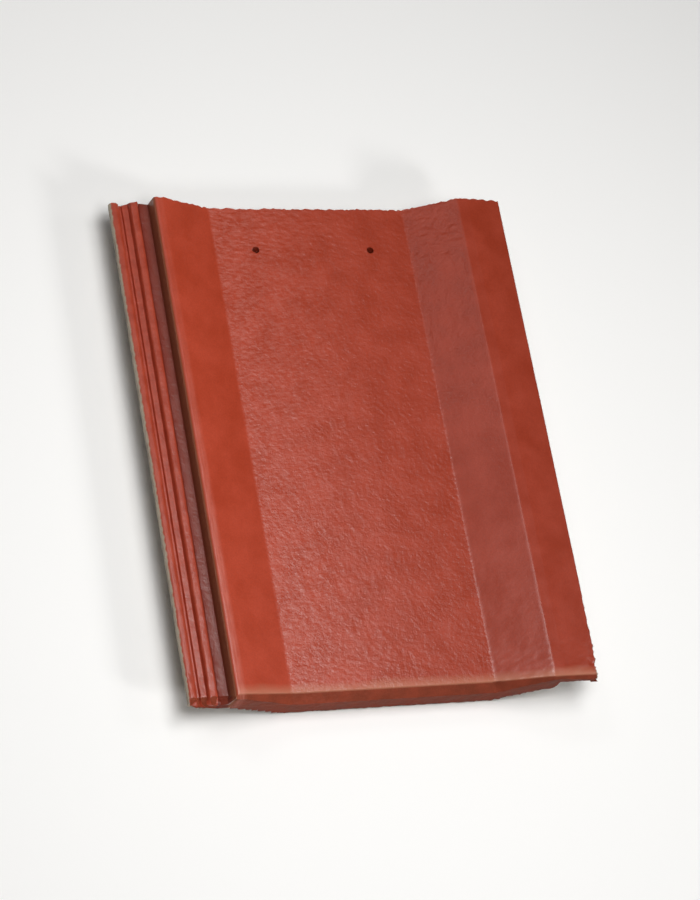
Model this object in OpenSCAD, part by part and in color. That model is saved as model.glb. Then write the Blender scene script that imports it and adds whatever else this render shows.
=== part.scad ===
// Interlocking concrete roof tile with one wide trough, lying on its nibs and nose.
// X runs across the tile, Y from the tail to the head, and Z up from the floor.
// The origin is the middle of the tile's box, on the floor.

/* [Tile] */
// Overall width, from the outer edge of the side lock to the right edge
tile_w = 330; // [310:1:420]
// Overall length, from the tail to the head
tile_l = 413; // [330:1:520]
// Thickness of the body, square to its faces
body_t = 14; // [11:0.5:17]

/* [Trough] */
// Height of the roll's step edge above the pan
roll_h = 18.4; // [16:0.2:22]
// Fall across the top of the roll
roll_fall = 0.8; // [0:0.1:1.6]
// Width of the top of the roll
roll_w = 7.7; // [6:0.1:14]
// Width of the left flank, from the roll to the pan
left_flank_w = 42.5; // [34:0.5:52]
// Width of the right flank, from the pan to the crest
right_flank_w = 40; // [32:0.5:50]
// Height of the crest above the pan
crest_h = 20.9; // [17:0.1:24]
// Width of the level part of the crest, up to where a tile laid beside this one starts
crest_level_w = 9.5; // [8:0.5:14]
// Height of the top of the right edge above the pan
edge_h = 17.7; // [16:0.1:19]
// Radius of the creases between the pan, the flanks and the crest
crease_r = 5; // [2:0.5:8]

/* [Side lock] */
// Width of the outer rib
outer_rib_w = 7.2; // [6.4:0.1:7.6]
// Height of the outer rib above the pan
outer_rib_h = 7.4; // [6.5:0.1:8]
// Width of the floor of the groove beside the outer rib
groove_w = 1.8; // [1:0.1:2.2]
// Height of the floor of the groove above the pan
groove_h = 2.9; // [1.5:0.1:3.4]
// Width of the top of the low middle rib
mid_rib_w = 4.6; // [4:0.1:5]
// Height of the low middle rib above the pan
mid_rib_h = 4.7; // [4.2:0.1:5]
// Width of the top of the inner rib
inner_rib_w = 6.2; // [5.4:0.1:6.6]
// Height of the inner rib above the pan
inner_rib_h = 8.4; // [7:0.1:9]
// Width of the floor of the water channel, up to the foot of the roll's step
channel_w = 8; // [6:0.5:12]
// Height of the water channel's floor above the pan
channel_h = 5.3; // [4.6:0.1:5.8]
// Depth of the side lock's underside below the pan's top
lock_depth = 4; // [3:0.5:6]
// Height of the lock's outer side, from the outer rib's top down to the sloping underside
outer_side_h = 4.4; // [3.5:0.1:6]
// Width of the sloping part of the lock's underside
under_slope_w = 12; // [9:0.5:14]
// Sideways run of each rib's side and of the roll's step
side_run = 1.2; // [0.8:0.1:1.3]

/* [Overlock] */
// Sideways gap between two laid tiles, at the step and at the nose
side_gap = 2; // [1:0.5:3]
// Height gap between the inner rib and the next tile's right edge above it
rib_gap = 2.5; // [1:0.1:3.2]
// Sideways gap between the lip and the inner rib's foot in the channel below it
lip_side_gap = 1.4; // [0.5:0.1:1.6]
// Height gap between the lip and the channel's floor below it
lip_gap = 1.7; // [1:0.1:3]

/* [Nose] */
// Thickness of the nose, straight down
nose_t = 24.5; // [20:0.5:30]
// Length of the nose, from the tail's front face to its back
nose_l = 32; // [20:1:50]
// Set-back of the pan's worn top edge behind the tail's front face
edge_setback = 8; // [5:0.5:10]
// Drop of the pan's worn top edge below the pan's top
edge_drop = 4; // [3:0.2:5]

/* [Nibs] */
// Width of each hanging nib
nib_w = 32; // [20:1:40]
// Length of each nib's foot along the tile
nib_l = 14; // [10:1:20]
// Extra length of the nib where it joins the body
nib_draft = 4; // [1:0.5:6]
// Distance of each nib's outer side from the edge of the pan
nib_inset = 11.5; // [0:0.5:30]
// Distance of the nibs' batten face from the head
nib_face_from_head = 22; // [20:1:26]

/* [Nail holes] */
// Diameter of each nail hole
nail_d = 5.8; // [4:0.1:8]
// Distance between the nail holes
nail_spacing = 98; // [40:1:116]
// Distance of the nail holes from the nibs' batten face
nail_from_nib = 15; // [8:1:20]

/* [Hidden] */
// Largest angle that one straight side of a rounded corner turns through
arc_angle = 15;
// Amount by which a cut runs past the face that it opens
past = 2;
// Thickness of the concrete between the roll's step and the hollow below it
step_wall = 4.5;
// Height above the lock's underside at which the hollow starts to slope
hollow_foot_h = 1;
// Radius of the step's top corner and of the right edge's top corner
step_r = 3;
edge_r = 2.5;
// Radii at the ribs' tops and feet, and at the lip's corners
outer_rib_r = 3;
rib_r = 2.4;
foot_r = 0.7;
lip_r = 1.2;
// Radius of the corners of the underside
under_r = 4;

// Places across the section, from the side lock's outer edge
outer_rib_x = outer_rib_w;
groove_x = outer_rib_x + side_run;
mid_rib_x = groove_x + groove_w + side_run / 2;
inner_rib_x = mid_rib_x + mid_rib_w + side_run;
channel_x = inner_rib_x + inner_rib_w + side_run;
lock_w = channel_x + channel_w;
step_x = lock_w + side_run;
roll_x = step_x + roll_w;
pan_x = roll_x + left_flank_w;
// A tile laid beside this one starts at cover_w, and its lock lies under the right edge
cover_w = tile_w - (lock_w - side_gap);
crest_x = cover_w - crest_level_w;
pan_end_x = crest_x - right_flank_w;
pan_mid_x = (pan_x + pan_end_x) / 2;
roll_end_h = roll_h - roll_fall;
outer_foot_h = outer_rib_h - outer_side_h;
overlock_x = cover_w - side_gap;
overlock_h = inner_rib_h + rib_gap;
lip_x = cover_w + channel_x + lip_side_gap;
lip_h = channel_h + lip_gap;

left_slope = atan(roll_end_h / left_flank_w);
right_slope = atan(crest_h / right_flank_w);
nail_y = tile_l - nib_face_from_head - nail_from_nib;

// The arc that rounds corner b between its neighbours a and c; each is [x, height, radius]
function flat(p) = [p[0], p[1]];
function unit(v) = v / norm(v);
function corner_arc(a, b, c) =
    let (to_a = unit(flat(a) - flat(b)), to_c = unit(flat(c) - flat(b)))
    let (inside = acos(to_a * to_c), turn = 180 - inside, r = b[2])
    let (start = flat(b) + to_a * r / tan(inside / 2))
    let (centre = flat(b) + unit(to_a + to_c) * r / sin(inside / 2))
    let (side = sign(to_c[0] * to_a[1] - to_c[1] * to_a[0]))
    let (first = start - centre, steps = max(1, ceil(turn / arc_angle)))
    [for (k = [0:steps])
        let (angle = side * turn * k / steps)
        centre + [first[0] * cos(angle) - first[1] * sin(angle),
                  first[0] * sin(angle) + first[1] * cos(angle)]];
function corner(a, b, c) = b[2] == 0 ? [flat(b)] : corner_arc(a, b, c);
function rounded(line) = [for (i = [1:len(line) - 2]) each corner(line[i - 1], line[i], line[i + 1])];

// Corners of the top, from the foot of the lock's outer side to the foot of the right edge
top_corners = [
    [0, outer_foot_h, 0],
    [0, outer_rib_h, outer_rib_r],
    [outer_rib_x, outer_rib_h, outer_rib_r],
    [groove_x, groove_h, foot_r],
    [groove_x + groove_w, groove_h, foot_r],
    [mid_rib_x, mid_rib_h, foot_r],
    [mid_rib_x + mid_rib_w, mid_rib_h, foot_r],
    [inner_rib_x, inner_rib_h, rib_r],
    [inner_rib_x + inner_rib_w, inner_rib_h, rib_r],
    [channel_x, channel_h, foot_r],
    [lock_w, channel_h, foot_r],
    [step_x, roll_h, step_r],
    [roll_x, roll_end_h, crease_r],
    [pan_x, 0, crease_r],
    [pan_end_x, 0, crease_r],
    [crest_x, crest_h, crease_r],
    [cover_w, crest_h, crease_r],
    [tile_w, edge_h, edge_r],
    [tile_w, lip_h, 0]
];
top_line = rounded(top_corners);

// Corners of the nose's underside and the overlock's, from right to left
nose_corners = [
    [tile_w, edge_h, 0],
    [tile_w, lip_h, lip_r],
    [lip_x, lip_h, lip_r],
    [lip_x, overlock_h, lip_r],
    [overlock_x, overlock_h, lip_r],
    [overlock_x, crest_h - nose_t, under_r],
    [crest_x, crest_h - nose_t, under_r],
    [pan_end_x, -nose_t, under_r],
    [pan_x, -nose_t, under_r],
    [roll_x, roll_end_h - nose_t, under_r],
    [step_x, -lock_depth, 0],
    [under_slope_w, -lock_depth, under_r],
    [0, outer_foot_h, foot_r],
    [0, outer_rib_h, 0]
];

// Corners of the hollow behind the nose, whose top is the body's underside
hollow_x = step_x + step_wall;
roll_under_x = roll_x + step_wall - body_t * tan(left_slope / 2);
roll_under_h = (pan_x - roll_under_x) * tan(left_slope) - body_t / cos(left_slope);
crest_under_h = crest_h - body_t;
overlock_under_h = min(crest_under_h, overlock_h - past);
hollow_corners = [
    [tile_w, -nose_t - past, 0],
    [hollow_x, -nose_t - past, 0],
    [hollow_x, hollow_foot_h - lock_depth, 0],
    [roll_under_x, roll_under_h, under_r],
    [pan_x - body_t * tan(left_slope / 2), -body_t, under_r],
    [pan_end_x + body_t * tan(right_slope / 2), -body_t, under_r],
    [crest_x + body_t * tan(right_slope / 2), crest_under_h, under_r],
    [overlock_x + past, overlock_under_h, 0],
    [overlock_x + past, -nose_t - past, 0],
    [hollow_x, -nose_t - past, 0]
];

// A section drawn in X and Z, drawn out along Y from one place to another
module drawn_out(line, from_y, to_y) {
    translate([0, to_y, 0])
        rotate([90, 0, 0])
            linear_extrude(to_y - from_y)
                polygon(line);
}

// A hanging nib, from well inside the body to below the nose's underside; x is its left side
module nib(x) {
    face_y = tile_l - nib_face_from_head;
    rise = nose_t - body_t;
    slope = nib_draft / rise;
    translate([x, 0, -nose_t])
        rotate([90, 0, 90])
            linear_extrude(nib_w)
                polygon([
                    [face_y, -2 * past],
                    [face_y, rise + past],
                    [face_y + nib_l + slope * (rise + past), rise + past],
                    [face_y + nib_l - slope * 2 * past, -2 * past]
                ]);
}

// The space under the body, behind the nose and around the nibs
module hollow() {
    difference() {
        drawn_out(rounded(hollow_corners), nose_l, tile_l + past);
        nib(pan_x + nib_inset);
        nib(pan_end_x - nib_inset - nib_w);
    }
}

// All that lies above the top's corners when they are drawn out on a slope, rising from the tail
module above_worn_edge() {
    slope = atan(edge_drop / edge_setback);
    reach = 2 * nose_t;
    corners = [for (c = top_corners) flat(c)];
    above = [
        [tile_w + past, -nose_t],
        [tile_w + past, reach],
        [-past, reach],
        [-past, -nose_t]
    ];
    translate([0, 0, -edge_drop])
        rotate([slope, 0, 0])
            drawn_out(concat(corners, above), -reach, reach);
}

module nail_hole(x) {
    translate([x, nail_y, -body_t - past])
        cylinder(h = body_t + 2 * past, d = nail_d, $fn = 48);
}

module tile() {
    color("#a8402f")
        translate([-tile_w / 2, -tile_l / 2, nose_t])
            difference() {
                drawn_out(concat(top_line, rounded(nose_corners)), 0, tile_l);
                hollow();
                above_worn_edge();
                nail_hole(pan_mid_x - nail_spacing / 2);
                nail_hole(pan_mid_x + nail_spacing / 2);
            }
}

tile();
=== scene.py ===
import math
import bmesh
import bpy
from mathutils import Matrix, Vector


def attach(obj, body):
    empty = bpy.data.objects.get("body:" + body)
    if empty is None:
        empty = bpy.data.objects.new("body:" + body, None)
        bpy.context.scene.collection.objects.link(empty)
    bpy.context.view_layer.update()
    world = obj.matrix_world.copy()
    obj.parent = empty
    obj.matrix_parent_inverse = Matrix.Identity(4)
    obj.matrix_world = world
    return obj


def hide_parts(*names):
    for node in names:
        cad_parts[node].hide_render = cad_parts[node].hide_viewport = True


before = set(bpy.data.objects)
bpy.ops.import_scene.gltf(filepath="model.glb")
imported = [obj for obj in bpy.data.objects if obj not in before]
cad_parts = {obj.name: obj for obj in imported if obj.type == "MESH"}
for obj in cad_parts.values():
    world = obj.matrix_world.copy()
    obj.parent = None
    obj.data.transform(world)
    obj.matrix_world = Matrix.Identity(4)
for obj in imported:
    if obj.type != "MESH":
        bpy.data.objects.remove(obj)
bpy.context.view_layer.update()        # X runs across the tile, Y from the tail to the head, Z up from the floor
mm = 0.001


# Turns an sRGB hex colour to the linear colour that the shaders take
def hexToLinear(code):
    channels = [int(code[i:i + 2], 16) / 255 for i in (1, 3, 5)]
    linear = [c / 12.92 if c <= 0.04045 else ((c + 0.055) / 1.055) ** 2.4 for c in channels]
    return (*linear, 1.0)


# Adds a node with its settings; each link is a socket's name or number, and a value or another node's output
def addNode(tree, kind, links=None, **settings):
    node = tree.nodes.new(kind)
    for name, value in settings.items():
        setattr(node, name, value)
    for socket, value in (links or {}).items():
        if isinstance(value, bpy.types.NodeSocket):
            tree.links.new(value, node.inputs[socket])
        else:
            node.inputs[socket].default_value = value
    return node


def selectOnly(piece):
    bpy.ops.object.select_all(action="DESELECT")
    piece.select_set(True)
    bpy.context.view_layer.objects.active = piece


# The camera

camera = {                  # its place in metres, which way its right, up and forward point, and its lens in mm
    "place": (-0.8635, -0.8298, 1.9598),
    "right": Vector((0.9247, -0.1711, 0.3402)),
    "up": Vector((0.0221, 0.916, 0.4006)),
    "forward": Vector((0.3801, 0.3629, -0.8508)),
    "lens": 117.45,
    "sensor": 36,
}
turned = Matrix((camera["right"], camera["up"], -camera["forward"])).transposed()
bpy.ops.object.camera_add(location=camera["place"], rotation=turned.to_euler())
eye = bpy.context.object
eye.data.lens = camera["lens"]
eye.data.sensor_width = camera["sensor"]
bpy.context.scene.camera = eye
bpy.context.scene.view_settings.view_transform = "Standard"
print("camera placed")


# The tile's mesh: the CAD body, cut finely enough to take its ripples and torn edges

plan = {                    # in mm, apart from the angles
    "across": 1.8,          # between the cuts across the coated side
    "along": 1.15,          # between the cuts along it
    "under": 12,            # between the cuts across the underside
    "upright": 2.5,         # between the cuts up the tail and the head
    "cutsAbove": (-132, 163.2),         # the first and the last cut of each run
    "cutsBelow": (-132, 156),
    "cutsUp": (2.5, 42.5),
    "lastCut": 205.4,       # of the cuts along the tile, at the tail and at the head
    "longEdge": 200,        # an edge that runs further along the tile than this is simply divided
    "merge": 0.001,         # points closer than this are one
    "tiny": 0.01,
    "flatAngle": 0.3,       # degrees, faces that meet more flatly than this are one
    "smoothAngle": 35,      # degrees, steeper edges stay sharp

    # places along the tile, from its middle
    "tail": -206.5, "noseTop": -198, "noseBack": -174.5, "behindNose": -150,
    "belowHoles": 160, "holes": 169.5, "head": 206.5,

    # places across it
    "outer": -165, "coatEnd": -160, "lockEnd": -133, "step": -131.8, "rollStart": -131, "channelEnd": -130,
    "rollEnd": -124.1, "panLeft": -81.6, "panRight": 85.5, "crest": 125.5, "right": 165,

    # heights above the floor
    "noseMiddle": 20,
    "panUnderside": 22,     # all faces lower than this are bare

    # distances
    "holeReach": 4,         # a nail hole's wall lies this close to the holes' row
    "holesWithin": 60,      # and this close to the tile's middle
    "farAway": 50,          # stands for a point that has no worn edge near it
}


def selectFaces(piece, wanted):
    mesh = bmesh.from_edit_mesh(piece.data)
    bpy.ops.mesh.select_all(action="DESELECT")
    for face in mesh.faces:
        if wanted(face.normal, face.calc_center_median()):
            face.select_set(True)
    bmesh.update_edit_mesh(piece.data)


# wanted takes the places of an edge's two ends
def selectEdges(piece, wanted):
    mesh = bmesh.from_edit_mesh(piece.data)
    bpy.ops.mesh.select_all(action="DESELECT")
    for edge in mesh.edges:
        if wanted(edge.verts[0].co, edge.verts[1].co):
            edge.select_set(True)
    bmesh.update_edit_mesh(piece.data)


# Cuts all that is not hidden by parallel planes, from one place to another, in mm
def cutInSteps(axis, first, last, step):
    count = round((last - first) / step)
    normal = [0, 0, 0]
    normal[axis] = 1
    for k in range(count + 1):
        place = [0, 0, 0]
        place[axis] = (first + (last - first) * k / count) * mm
        bpy.ops.mesh.select_all(action="SELECT")
        bpy.ops.mesh.bisect(plane_co=place, plane_no=normal)

def cutFaces(piece, wanted, *cuts):
    selectFaces(piece, wanted)
    bpy.ops.mesh.hide(unselected=True)
    cutInSteps(*cuts)
    bpy.ops.mesh.reveal(select=False)


def isUnderside(normal, centre):
    return normal.z < 0.2 and abs(normal.y) < 0.5 and centre.y > plan["noseBack"] * mm


def isAcrossStrips(one, other):         # the long strips lie between the nose and the nail holes
    middle = (one.y + other.y) / 2 / mm
    onStrips = plan["noseBack"] + plan["tiny"] < middle < plan["belowHoles"] - plan["tiny"]
    return onStrips and math.hypot(one.x - other.x, one.z - other.z) > plan["tiny"] * mm


tile = bpy.data.objects.new("coated_tile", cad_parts["tile"].data.copy())
bpy.context.scene.collection.objects.link(tile)
selectOnly(tile)
bpy.ops.object.mode_set(mode="EDIT")
bpy.ops.mesh.select_all(action="SELECT")
bpy.ops.mesh.customdata_custom_splitnormals_clear()
bpy.ops.mesh.remove_doubles(threshold=plan["merge"] * mm)
bpy.ops.mesh.dissolve_limited(angle_limit=math.radians(plan["flatAngle"]))
cutFaces(tile, lambda normal, centre: not isUnderside(normal, centre), 0, *plan["cutsAbove"], plan["across"])
cutFaces(tile, isUnderside, 0, *plan["cutsBelow"], plan["under"])
cutInSteps(1, -plan["lastCut"], plan["noseBack"], plan["along"])
cutInSteps(1, plan["belowHoles"], plan["lastCut"], plan["along"])
cutFaces(tile, lambda normal, centre: abs(normal.y) > 0.5, 2, *plan["cutsUp"], plan["upright"])

# the long strips are cleared of slanted edges, then divided into faces of the same length
selectEdges(tile, isAcrossStrips)
bpy.ops.mesh.dissolve_edges(use_verts=True)
selectEdges(tile, lambda one, other: abs(one.y - other.y) > plan["longEdge"] * mm)
bpy.ops.mesh.subdivide(number_cuts=round((plan["belowHoles"] - plan["noseBack"]) / plan["along"]) - 1)
bpy.ops.mesh.select_all(action="DESELECT")
bpy.ops.mesh.select_face_by_sides(number=4, type="GREATER")
bpy.ops.mesh.quads_convert_to_tris(quad_method="BEAUTY", ngon_method="BEAUTY")
bpy.ops.object.mode_set(mode="OBJECT")
print("tile cut:", sum(len(face.vertices) - 2 for face in tile.data.polygons), "triangles")


# Each face's finish is chosen now, while the faces are still flat
def finishOf(face):
    place, normal = face.center, face.normal
    if place.y < plan["noseTop"] * mm and normal.y < -0.3:
        return "nose"
    nearHoles = abs(place.y - plan["holes"] * mm) < plan["holeReach"] * mm
    if nearHoles and abs(place.x) < plan["holesWithin"] * mm and abs(normal.z) < 0.3:
        return "top"                    # the nail holes' walls
    inLock = plan["coatEnd"] * mm < place.x < plan["channelEnd"] * mm
    steepSide = abs(normal.x) > 0.8 and not inLock
    if normal.z < -0.2 or normal.y > 0.5 or steepSide or place.z < plan["panUnderside"] * mm:
        return "bare"
    return "lock" if place.x < plan["step"] * mm else "top"


finishes = [finishOf(face) for face in tile.data.polygons]

# The top meets the slope above the nose in a worn edge; each point of the tile keeps its distance behind it, in mm
wornEdge = {}               # the edge's place along the tile, for each mm across it
for face in tile.data.polygons:
    if -0.6 < face.normal.y < -0.3 and face.normal.z > 0.5:         # the slope above the nose
        for k in face.vertices:
            spot = tile.data.vertices[k].co
            key = round(spot.x / mm)
            wornEdge[key] = max(wornEdge.get(key, -1), spot.y)
fromWornEdge = tile.data.attributes.new("fromWornEdge", "FLOAT", "POINT")
for vertex in tile.data.vertices:
    key = round(vertex.co.x / mm)
    near = [wornEdge[k] for k in range(key - 2, key + 3) if k in wornEdge]
    onNose = vertex.co.y < plan["behindNose"] * mm and vertex.co.z > plan["noseMiddle"] * mm
    isNear = near and onNose and key > plan["rollStart"]
    fromWornEdge.data[vertex.index].value = (vertex.co.y - max(near)) / mm if isNear else plan["farAway"]
print("worn edge found at", len(wornEdge), "places")


# The tile's surface: unevenness, ripples and torn edges, each limited by a vertex group

# 0 up to the first place, 1 from the second, with a soft step between; it falls if the second is the lower
def softStep(value, first, second):
    share = min(1, max(0, (value - first) / (second - first)))
    return share * share * (3 - 2 * share)


# weightOf takes a place in mm and a normal, and gives a weight from 0 to 1
def addGroup(piece, name, weightOf):
    group = piece.vertex_groups.new(name=name)
    for vertex in piece.data.vertices:
        weight = weightOf(vertex.co / mm, vertex.normal)
        if weight > 0.01:
            group.add([vertex.index], weight, "REPLACE")


# Moves a group's points by a cloud pattern; size is its grain across, along and up, in mm, and turn is in degrees
def roughen(piece, group, size, height, direction="NORMAL", turn=0, depth=1, level=0.5):
    empty = bpy.data.objects.new("patternPlace", None)
    bpy.context.scene.collection.objects.link(empty)
    empty.scale = [s * mm for s in size]
    empty.rotation_euler.z = math.radians(turn)
    bpy.context.view_layer.update()
    clouds = bpy.data.textures.new(group, "CLOUDS")
    clouds.noise_scale = 1
    clouds.noise_depth = depth
    clouds.noise_basis = "IMPROVED_PERLIN"
    selectOnly(piece)
    modifier = piece.modifiers.new(group, "DISPLACE")
    modifier.texture = clouds
    modifier.texture_coords = "OBJECT"
    modifier.texture_coords_object = empty
    modifier.vertex_group = group
    modifier.direction = direction
    modifier.strength = height * mm
    modifier.mid_level = level
    bpy.ops.object.modifier_apply(modifier=modifier.name)
    bpy.data.objects.remove(empty)
    bpy.data.textures.remove(clouds)


# Rounds off the group's corners
def soften(piece, group, times):
    selectOnly(piece)
    modifier = piece.modifiers.new(group, "SMOOTH")
    modifier.vertex_group = group
    modifier.iterations = times
    bpy.ops.object.modifier_apply(modifier=modifier.name)


isTop = lambda normal: softStep(normal.z, 0.2, 0.6)
isPan = lambda p, n: isTop(n) * softStep(p.x, plan["panLeft"], plan["panLeft"] + 3)
fromTail = lambda p: p.y - plan["tail"]
fromHead = lambda p: plan["head"] - p.y

addGroup(tile, "coated side", lambda p, n: isTop(n) * softStep(p.x, plan["step"], plan["rollEnd"]))
addGroup(tile, "pan", lambda p, n: isPan(p, n) * softStep(p.x, plan["panRight"], plan["panRight"] - 4)
         * (1 - 0.6 * softStep(p.x, -20, 60)) * softStep(fromTail(p), 9, 20))
addGroup(tile, "pan near the tail", lambda p, n: isPan(p, n)
         * softStep(fromTail(p), 150, 90) * softStep(fromTail(p), 8, 12))
addGroup(tile, "right flank", lambda p, n: isTop(n) * softStep(p.x, plan["panRight"], plan["panRight"] + 3)
         * softStep(p.x, plan["crest"], plan["crest"] - 3) * (0.12 + 0.88 * softStep(p.y, -10, 100)))
addGroup(tile, "side lock", lambda p, n: softStep(p.x, plan["step"] - 2, plan["lockEnd"] - 3)
         * softStep(n.z, -0.2, 0.3) * (0.5 + 0.5 * softStep(fromTail(p), 40, 0)))
addGroup(tile, "outer side", lambda p, n: softStep(n.x, -0.4, -0.8)
         * softStep(p.x, plan["outer"] + 1, plan["outer"]))
addGroup(tile, "tail end of the lock", lambda p, n: softStep(p.x, plan["step"] + 1, plan["step"] - 1)
         * softStep(fromTail(p), 6, 0))
addGroup(tile, "nose front", lambda p, n: softStep(n.y, -0.4, -0.7)
         * softStep(p.x, plan["step"], plan["rollEnd"]))
addGroup(tile, "nose foot", lambda p, n: softStep(fromTail(p), 1.5, 0) * softStep(n.z, 0, -0.3))
addGroup(tile, "worn edge", lambda p, n: softStep(fromTail(p), 11, 6) * softStep(n.z, 0.1, 0.4))
addGroup(tile, "head edge", lambda p, n: softStep(fromHead(p), 2.5, 0))
addGroup(tile, "right tail corner", lambda p, n: softStep(p.x, plan["right"] - 9, plan["right"] - 3)
         * softStep(fromTail(p), 30, 6))
addGroup(tile, "right edge", lambda p, n: softStep(p.x, plan["right"] - 2.5, plan["right"])
         * softStep(fromTail(p), 90, 20))

relief = {                  # for each group the pattern's size and height in mm, made in this order
    "coated side": dict(size=(22, 90, 40), height=0.30),
    "pan": dict(size=(9, 2.4, 6), height=0.95, turn=-10),           # fine wrinkles across the pan
    "pan near the tail": dict(size=(7, 4.5, 6), height=0.55, turn=20, depth=2),
    "right flank": dict(size=(3.6, 3.0, 4), height=1.4),
    "side lock": dict(size=(4, 12, 6), height=1.5, depth=2),
    "outer side": dict(size=(4, 4, 3), height=1.5, depth=2),
    "tail end of the lock": dict(size=(3.5, 4, 3.5), height=4.5, depth=2),
    "nose front": dict(size=(5, 4, 3.5), height=1.5, depth=2),
    "nose foot": dict(size=(3.2, 5, 9), height=5.5, direction="Z", level=0),         # only up, off the floor
    "worn edge": dict(size=(9, 5, 6), height=1.6, depth=2),
    "head edge": dict(size=(4, 9, 20), height=4.5, direction="Y", depth=2, level=0.6),
    "right tail corner": dict(size=(4.5, 4.5, 4), height=9, depth=2, level=0.6),
    "right edge": dict(size=(9, 3.5, 5), height=5.5, direction="X", depth=2, level=0.6),
}
soften(tile, "tail end of the lock", 10)
soften(tile, "right tail corner", 4)
for group, pattern in relief.items():
    roughen(tile, group, **pattern)
selectOnly(tile)
bpy.ops.object.shade_smooth_by_angle(angle=math.radians(plan["smoothAngle"]))
print("surface roughened")


# The finishes: every pattern is made from the place on the tile

# Cement slurry, tinted red and sprayed on fresh pressed concrete. It dries to a thin satin skin: soft highlights,
# dimples over the sand beneath, a tan line where the nose's top edge wears through, and dirt on the lock's step;
# painted shade darkens the lock's groove and channel and the coat towards the right, and a painted highlight on the
# roll and painted glints on the pan are laid into its colour.
coat = {                    # sizes and places in mm
    "deep": "#9f3922",          # the darker and the lighter patches of the coat
    "pale": "#a93f28",
    "patch": 22,                # size of those patches
    "gloss": 0.5,
    "smoothest": 0.31,          # the least and the most roughness
    "roughest": 0.40,
    "worn": "#b97a60",          # coat rubbed thin along the nose's top edge
    "wornRagged": 6.0,          # how far that line wanders
    "paintedRollHighlight": "#dc8f80",        # painted highlight: a pale pink sheen painted along the roll, in streaks
    "streaks": (1.43, 16.7, 3.33),      # their width, length and height
    "paintedPanGlints": "#d08a7e",          # painted highlight: pale pink glints painted on the ridges of the pan's left part
    "paintedGlintShare": 0.27,
    "ridges": (4.55, 1.5625, 3.33),     # size of those ridges across, along and up
    "dirtAndPaintedShade": [                   # painted shade in the deep groove and the channel, dirt up the step: place from the inner rib to the roll as a share, colour and cover
        (0.06, "#5a140a", 0), (0.12, "#5a140a", 0.85), (0.20, "#5a140a", 0.75), (0.32, "#6e2a1e", 0.8),
        (0.76, "#682c20", 0.85), (0.80, "#8a5238", 0.9), (0.90, "#8a5238", 0.9), (0.97, "#8a5238", 0),
    ],
    "concrete": "#a89a86",      # grey-beige concrete where the coat stops, on the lock's outer rib
    "concreteRougher": 0.5,     # added to the coat's roughness there
    "stopRagged": 2.2,          # how far the coat's end wanders
    "grain": 1.3,               # size of the sand grains that show through the coat, drawn coarse enough to show
    "grainHeight": 0.16,
    "skin": 3.4,                # size of the coat's dimples
    "skinHeight": 0.42,
    "smooth": 0.3,              # share of that relief left on the smooth flank and crest
    "masks": {                  # what each follows, from where to where it changes, and its value before and after
        "paleShare": ("patch", 0.35, 0.65, 0, 1),
        "grainTone": ("grain", 0.3, 0.7, 0.93, 1.07),
        "paintedShadeAcross": ("X", -120, 160, 1.08, 0.78),       # painted shade: the coat is darkened towards the right, where less light falls
        "wornBehind": ("wornLine", 3.5, 10.5, 0.62, 0),
        "wornFront": ("fromEdge", -1.2, -0.2, 0, 1),
        # where the painted highlight lies: in streaks along the roll, most near the tail
        "streakShare": ("streaks", 0.35, 0.62, 0.3, 1),
        "rollLeft": ("X", -130.8, -129.0, 0, 1),
        "rollRight": ("X", -126.5, -122.5, 1, 0),
        "rollAlong": ("Y", -80, 100, 0.26, 0.05),       # the painted highlight is brightest near the tail
        # where the painted glints lie: on the ridges of the pan's left part
        "ridgeShare": ("ridges", 0.42, 0.72, 0, 1),
        "paintedGlintLeft": ("X", -82.5, -80.0, 0, 1),
        "paintedGlintRight": ("X", -70, 40, "paintedGlintShare", 0),
        "acrossLock": ("X", -143, -130, 0, 1),
        "bare": ("coatStop", -162.2, -163.0, 0, 1),
        "roughness": ("patch", 0.3, 0.7, "smoothest", "roughest"),
        "panStart": ("X", -83.5, -80.5, "smooth", 1),
        "crestEnd": ("X", 124, 127, 1, "smooth"),
        "flankShare": ("X", 84.5, 86.5, 0, 0.75),       # the right flank's relief fades towards the tail
        "flankFade": ("Y", -40, 90, -1, 0),
    },
    "products": {               # masks that are multiplied together
        # the grain's tone times the painted shade across the tile
        "tone": ("grainTone", "paintedShadeAcross"),
        "worn": ("wornBehind", "wornFront"),
        # painted highlight along the roll
        "paintedRollHighlight": ("streakShare", "rollLeft", "rollRight", "rollAlong"),
        # painted glints on the pan's ridges
        "paintedPanGlints": ("ridgeShare", "paintedGlintLeft", "paintedGlintRight"),
        "relief": ("panStart", "crestEnd", "flankRelief"),
    },
}

# The same slurry on the nose, which the blade leaves open and coarse: it soaks in, so it is thin and matt; its
# darker, browner colour is painted shade, for the little light that reaches the nose's front
noseCoatWithPaintedShade = dict(coat, deep="#76331f", pale="#863a26", patch=12, paintedGlintShare=0.05, gloss=0.12,
                smoothest=0.6, roughest=0.75, grainHeight=0.3, smooth=1)

# The same slurry in the side lock: a little darker than on the top, in smaller blotches
lockCoat = dict(coat, deep="#943622", pale="#a03f2a", patch=9, smooth=0.7)


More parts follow.
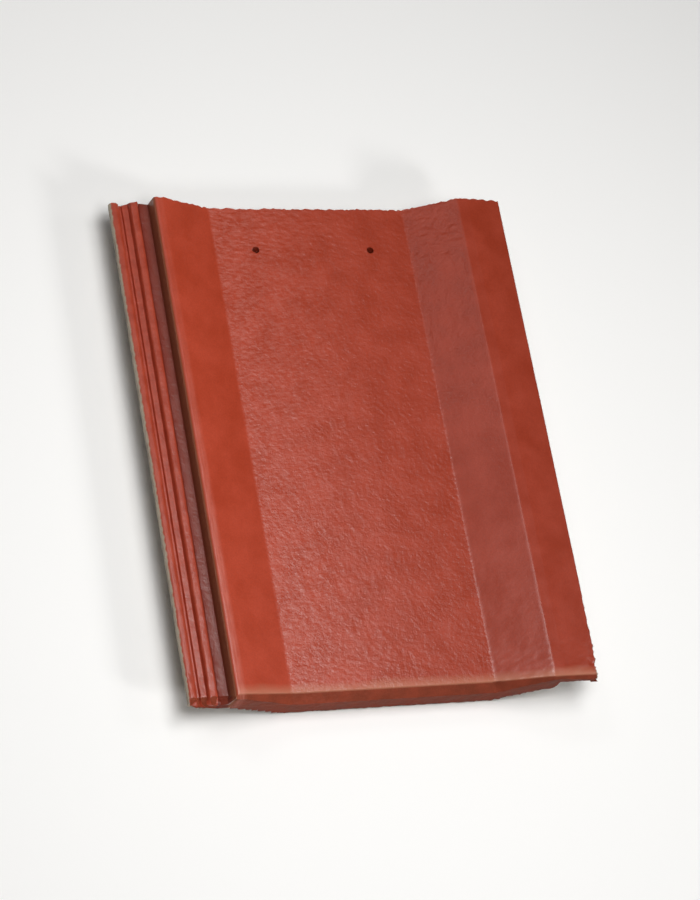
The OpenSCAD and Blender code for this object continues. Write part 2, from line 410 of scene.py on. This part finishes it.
def coatedConcrete(name, look):
    material = bpy.data.materials.new(name)
    material.use_nodes = True
    tree = material.node_tree
    shader = tree.nodes["Principled BSDF"]
    shader.inputs["Specular IOR Level"].default_value = look["gloss"]
    place = addNode(tree, "ShaderNodeTexCoord").outputs["Object"]
    axes = addNode(tree, "ShaderNodeSeparateXYZ", {0: place}).outputs
    source = {"X": axes["X"], "Y": axes["Y"]}
    source["fromEdge"] = addNode(tree, "ShaderNodeAttribute", attribute_name="fromWornEdge").outputs["Fac"]
    for pattern, detail in (("patch", 4.0), ("grain", 2.0), ("skin", 2.0)):
        source[pattern] = addNode(tree, "ShaderNodeTexNoise", {
            "Vector": place, "Scale": 1 / (look[pattern] * mm), "Detail": detail}).outputs["Fac"]
    for pattern, detail in (("streaks", 3.0), ("ridges", 4.0)):
        scale = [1 / (size * mm) for size in look[pattern]]
        drawn = addNode(tree, "ShaderNodeVectorMath", {0: place, 1: scale}, operation="MULTIPLY").outputs[0]
        source[pattern] = addNode(tree, "ShaderNodeTexNoise", {
            "Vector": drawn, "Scale": 1.0, "Detail": detail}).outputs["Fac"]
    source["wornLine"] = addNode(tree, "ShaderNodeMath", {
        0: source["patch"], 1: look["wornRagged"], 2: source["fromEdge"]}, operation="MULTIPLY_ADD").outputs[0]
    source["coatStop"] = addNode(tree, "ShaderNodeMath", {
        0: source["skin"], 1: look["stopRagged"] * mm, 2: axes["X"]}, operation="MULTIPLY_ADD").outputs[0]

    # the masks; a word in place of a value is the name of another value of the coat
    mask = {}
    for key, (follows, first, last, before, after) in look["masks"].items():
        unit = mm if follows in ("X", "Y", "coatStop") else 1
        mask[key] = addNode(tree, "ShaderNodeMapRange", {
            "Value": source[follows], "From Min": first * unit, "From Max": last * unit,
            "To Min": look.get(before, before), "To Max": look.get(after, after)}).outputs[0]
    mask["flankRelief"] = addNode(tree, "ShaderNodeMath", {
        0: mask["flankShare"], 1: mask["flankFade"], 2: 1.0}, operation="MULTIPLY_ADD").outputs[0]
    for key, factors in look["products"].items():
        mask[key] = mask[factors[0]]
        for factor in factors[1:]:
            mask[key] = addNode(tree, "ShaderNodeMath", {0: mask[key], 1: mask[factor]},
                                operation="MULTIPLY").outputs[0]

    # the coat's own colour, darkened towards the right as painted shade, then the wear, the painted highlight on the
    # roll and the painted glints on the pan laid over it
    colour = addNode(tree, "ShaderNodeMix", {
        0: mask["paleShare"], 6: hexToLinear(look["deep"]), 7: hexToLinear(look["pale"])},
        data_type="RGBA").outputs[2]
    colour = addNode(tree, "ShaderNodeVectorMath", {0: colour, 1: mask["tone"]}, operation="MULTIPLY").outputs[0]
    for cover in ("worn", "paintedRollHighlight", "paintedPanGlints"):
        colour = addNode(tree, "ShaderNodeMix", {0: mask[cover], 6: colour, 7: hexToLinear(look[cover])},
                         data_type="RGBA").outputs[2]

    # painted shade in the lock's deep groove and channel, and dirt up the step beside it: the ramp runs across them,
    # its alpha is the cover
    dirtAndPaintedShade = addNode(tree, "ShaderNodeValToRGB", {0: mask["acrossLock"]})
    stops = dirtAndPaintedShade.color_ramp.elements
    stops.remove(stops[0])
    stops[0].position = 0
    stops[0].color = (0, 0, 0, 0)
    for position, code, cover in look["dirtAndPaintedShade"]:
        stops.new(position).color = (*hexToLinear(code)[:3], cover)
    colour = addNode(tree, "ShaderNodeMix", {0: dirtAndPaintedShade.outputs["Alpha"], 6: colour, 7: dirtAndPaintedShade.outputs["Color"]},
                     data_type="RGBA").outputs[2]
    colour = addNode(tree, "ShaderNodeMix", {0: mask["bare"], 6: colour, 7: hexToLinear(look["concrete"])},
                     data_type="RGBA").outputs[2]
    tree.links.new(colour, shader.inputs["Base Color"])

    roughness = addNode(tree, "ShaderNodeMath", {
        0: mask["bare"], 1: look["concreteRougher"], 2: mask["roughness"]},
        operation="MULTIPLY_ADD", use_clamp=True).outputs[0]
    tree.links.new(roughness, shader.inputs["Roughness"])
    height = addNode(tree, "ShaderNodeMath", {0: source["grain"], 1: look["grainHeight"]},
                     operation="MULTIPLY").outputs[0]
    height = addNode(tree, "ShaderNodeMath", {0: source["skin"], 1: look["skinHeight"], 2: height},
                     operation="MULTIPLY_ADD").outputs[0]
    bump = addNode(tree, "ShaderNodeBump", {"Height": height, "Distance": mm, "Strength": mask["relief"]}).outputs[0]
    tree.links.new(bump, shader.inputs["Normal"])
    return material


# Roofing concrete as the mould leaves it: matt and grey-beige, cloudy in patches, with its sand grains standing out
concrete = {                # sizes in mm
    "dark": "#94877a",
    "light": "#b3a695",
    "patch": 18,
    "patchEdges": (0.35, 0.65),
    "grain": 0.9,
    "grainHeight": 0.12,
    "grainTone": (0.85, 1.12),
    "sand": 2.2,            # drawn coarser than real sand, so that it shows
    "sandHeight": 1.2,      # times the grain's height
    "roughness": 0.85,
    "gloss": 0.25,
}


def bareConcrete(name, look):
    material = bpy.data.materials.new(name)
    material.use_nodes = True
    tree = material.node_tree
    shader = tree.nodes["Principled BSDF"]
    shader.inputs["Roughness"].default_value = look["roughness"]
    shader.inputs["Specular IOR Level"].default_value = look["gloss"]
    place = addNode(tree, "ShaderNodeTexCoord").outputs["Object"]
    patches, grain = [addNode(tree, "ShaderNodeTexNoise", {
        "Vector": place, "Scale": 1 / (look[pattern] * mm), "Detail": detail}).outputs["Fac"]
        for pattern, detail in (("patch", 5.0), ("grain", 3.0))]
    sand = addNode(tree, "ShaderNodeTexVoronoi", {
        "Vector": place, "Scale": 1 / (look["sand"] * mm)}).outputs["Distance"]
    share = addNode(tree, "ShaderNodeMapRange", {
        "Value": patches, "From Min": look["patchEdges"][0], "From Max": look["patchEdges"][1]}).outputs[0]
    colour = addNode(tree, "ShaderNodeMix", {
        0: share, 6: hexToLinear(look["dark"]), 7: hexToLinear(look["light"])}, data_type="RGBA").outputs[2]
    tone = addNode(tree, "ShaderNodeMapRange", {
        "Value": grain, "From Min": 0.3, "From Max": 0.7,
        "To Min": look["grainTone"][0], "To Max": look["grainTone"][1]}).outputs[0]
    colour = addNode(tree, "ShaderNodeVectorMath", {0: colour, 1: tone}, operation="MULTIPLY").outputs[0]
    tree.links.new(colour, shader.inputs["Base Color"])
    height = addNode(tree, "ShaderNodeMath", {0: sand, 1: look["sandHeight"], 2: grain},
                     operation="MULTIPLY_ADD").outputs[0]
    bump = addNode(tree, "ShaderNodeBump", {"Height": height, "Distance": look["grainHeight"] * mm}).outputs[0]
    tree.links.new(bump, shader.inputs["Normal"])
    return material


materials = {
    "top": coatedConcrete("red slurry coat", coat),
    "nose": coatedConcrete("red coat on the cut nose, darkened as painted shade", noseCoatWithPaintedShade),
    "lock": coatedConcrete("red coat on the lock", lockCoat),
    "bare": bareConcrete("bare roofing concrete", concrete),
}
tile.data.materials.clear()
for material in materials.values():
    tile.data.materials.append(material)
slots = {finish: number for number, finish in enumerate(materials)}
for face, finish in zip(tile.data.polygons, finishes):
    face.material_index = slots[finish]
print("materials made")


# The floor and the light

# Matt white paint on a board: even and chalky, it takes a soft shadow and mirrors nothing
floorPaint = {"size": 8, "colour": "#f9f8f6", "roughness": 0.9, "gloss": 0}       # size in metres
bpy.ops.mesh.primitive_plane_add(size=floorPaint["size"])
floor = bpy.context.object
floor.name = "floor"
paint = bpy.data.materials.new("matt white floor paint")
paint.use_nodes = True
shader = paint.node_tree.nodes["Principled BSDF"]
shader.inputs["Base Color"].default_value = hexToLinear(floorPaint["colour"])
shader.inputs["Roughness"].default_value = floorPaint["roughness"]
shader.inputs["Specular IOR Level"].default_value = floorPaint["gloss"]
floor.data.materials.append(paint)

light = {
    "world": 0.02,
    "boxes": [              # place and width in metres and power in watts of each softbox, all turned to the tile
        ((-0.22, -0.32, 1.3), 0.5, 9.3),
        ((0.1, 0.05, 1.3), 0.5, 5.8),
        ((1.6, -1.6, 1.3), 0.5, 17.0),
        ((1.6, 0, 1.3), 0.4, 2.3),
        ((-0.66, 0.9, 1.3), 0.3, 1.5),
        ((0.1, 0.75, 1.3), 0.5, 0.6),
    ],
}
for place, width, power in light["boxes"]:
    bpy.ops.object.light_add(type="AREA", location=place, rotation=Vector(place).to_track_quat("Z", "Y").to_euler())
    lamp = bpy.context.object.data
    lamp.shape = "SQUARE"
    lamp.size = width
    lamp.energy = power
world = bpy.data.worlds.new("studio")
bpy.context.scene.world = world
world.use_nodes = True
world.node_tree.nodes["Background"].inputs["Color"].default_value = (1, 1, 1, 1)
world.node_tree.nodes["Background"].inputs["Strength"].default_value = light["world"]
print("floor and lights set")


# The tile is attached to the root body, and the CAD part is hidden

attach(tile, "root")
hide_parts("tile")
